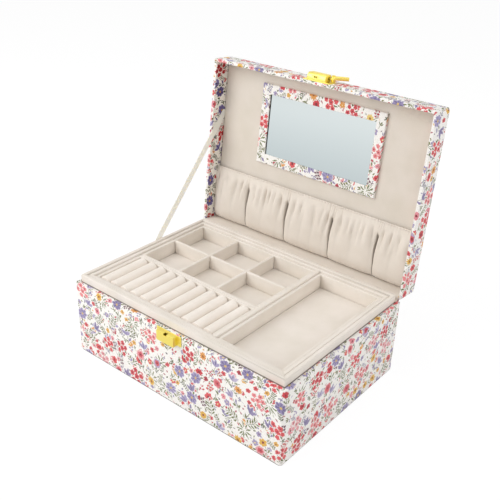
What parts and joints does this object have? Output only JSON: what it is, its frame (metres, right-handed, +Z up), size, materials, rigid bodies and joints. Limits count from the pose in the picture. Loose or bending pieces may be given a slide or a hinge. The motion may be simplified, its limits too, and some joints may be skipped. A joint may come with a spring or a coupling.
{
  "type": "vanity box",
  "caption": "Cloth-covered vanity box with a hinged lid, mirror and gathered pockets inside, velvet ring rolls and compartments in a lift-out tray, and a gold lever clasp.",
  "frame": {"origin": "middle of the underside of the box", "axes": "+X to the right of someone in front of the box, +Y towards the hinge at the back, +Z up"},
  "size_m": [0.26, 0.234, 0.2738],
  "materials": {
    "board": "raw pasteboard",
    "printed_cloth": "woven cotton with a small multicoloured floral print on near white",
    "velvet": "cream short-pile velvet over board",
    "lining_cloth": "cream suede cloth",
    "satin": "cream satin ribbon",
    "mirror_glass": "silvered glass",
    "gold_metal": "bright gold plate"
  },
  "bodies": {
    "base": {"base_carcass": "board", "base_cover": "printed_cloth", "bottom_sheet": "board", "collar_front": "velvet", "collar_right": "velvet", "collar_back": "velvet", "collar_left": "velvet", "floor_pad": "velvet", "rest_front": "velvet", "rest_right": "velvet", "rest_back": "velvet", "rest_left": "velvet", "ribbon_stay": "satin", "clasp_base_plate": "gold_metal", "clasp_catch": "gold_metal", "clasp_base_rivets": "gold_metal"},
    "tray": {"tray_floor": "board", "tray_front": "velvet", "tray_right": "velvet", "tray_back": "velvet", "tray_left": "velvet", "tray_partition": "velvet", "grid_frame": "velvet", "grid_long_divider": "velvet", "grid_cross_left": "velvet", "grid_cross_right": "velvet", "grid_pad": "velvet", "roll_frame": "velvet", "roll_bed": "velvet", "ring_roll_1": "velvet", "ring_roll_2": "velvet", "ring_roll_3": "velvet", "ring_roll_4": "velvet", "ring_roll_5": "velvet", "ring_roll_6": "velvet", "ring_roll_7": "velvet", "ring_roll_8": "velvet", "ring_roll_9": "velvet", "ring_roll_10": "velvet", "ring_roll_11": "velvet", "well_frame": "velvet", "well_pad": "velvet"},
    "lid": {"lid_carcass": "board", "lid_cover": "printed_cloth", "lid_panel": "velvet", "hinge_lining": "lining_cloth", "hinge_cloth": "printed_cloth", "mirror_frame": "printed_cloth", "mirror_glass": "mirror_glass", "mirror_card": "board", "pocket_cloth": "lining_cloth", "pocket_hem": "lining_cloth", "clasp_lid_plate": "gold_metal", "clasp_housing": "gold_metal", "clasp_lid_rivet": "gold_metal", "clasp_pivot_pin": "gold_metal"},
    "lever": {"clasp_lever": "gold_metal"}
  },
  "joints": [
    {"name": "lid_hinge", "type": "hinge", "parent": "base", "child": "lid", "pos_m": [0, 0.09365, 0.0805], "axis": [1, 0, 0], "range_deg": [0, 95.3], "deforming": ["ribbon_stay", "hinge_cloth"]},
    {"name": "tray_lift", "type": "slide", "parent": "base", "child": "tray", "axis": [0, 0, 1], "range_m": [0, 0.05]},
    {"name": "clasp_lever_turn", "type": "hinge", "parent": "lid", "child": "lever", "pos_m": [0.0132, 0.12115, 0.26977], "axis": [0, 0.0924, 0.9957], "range_deg": [0, 24]}
  ]
}
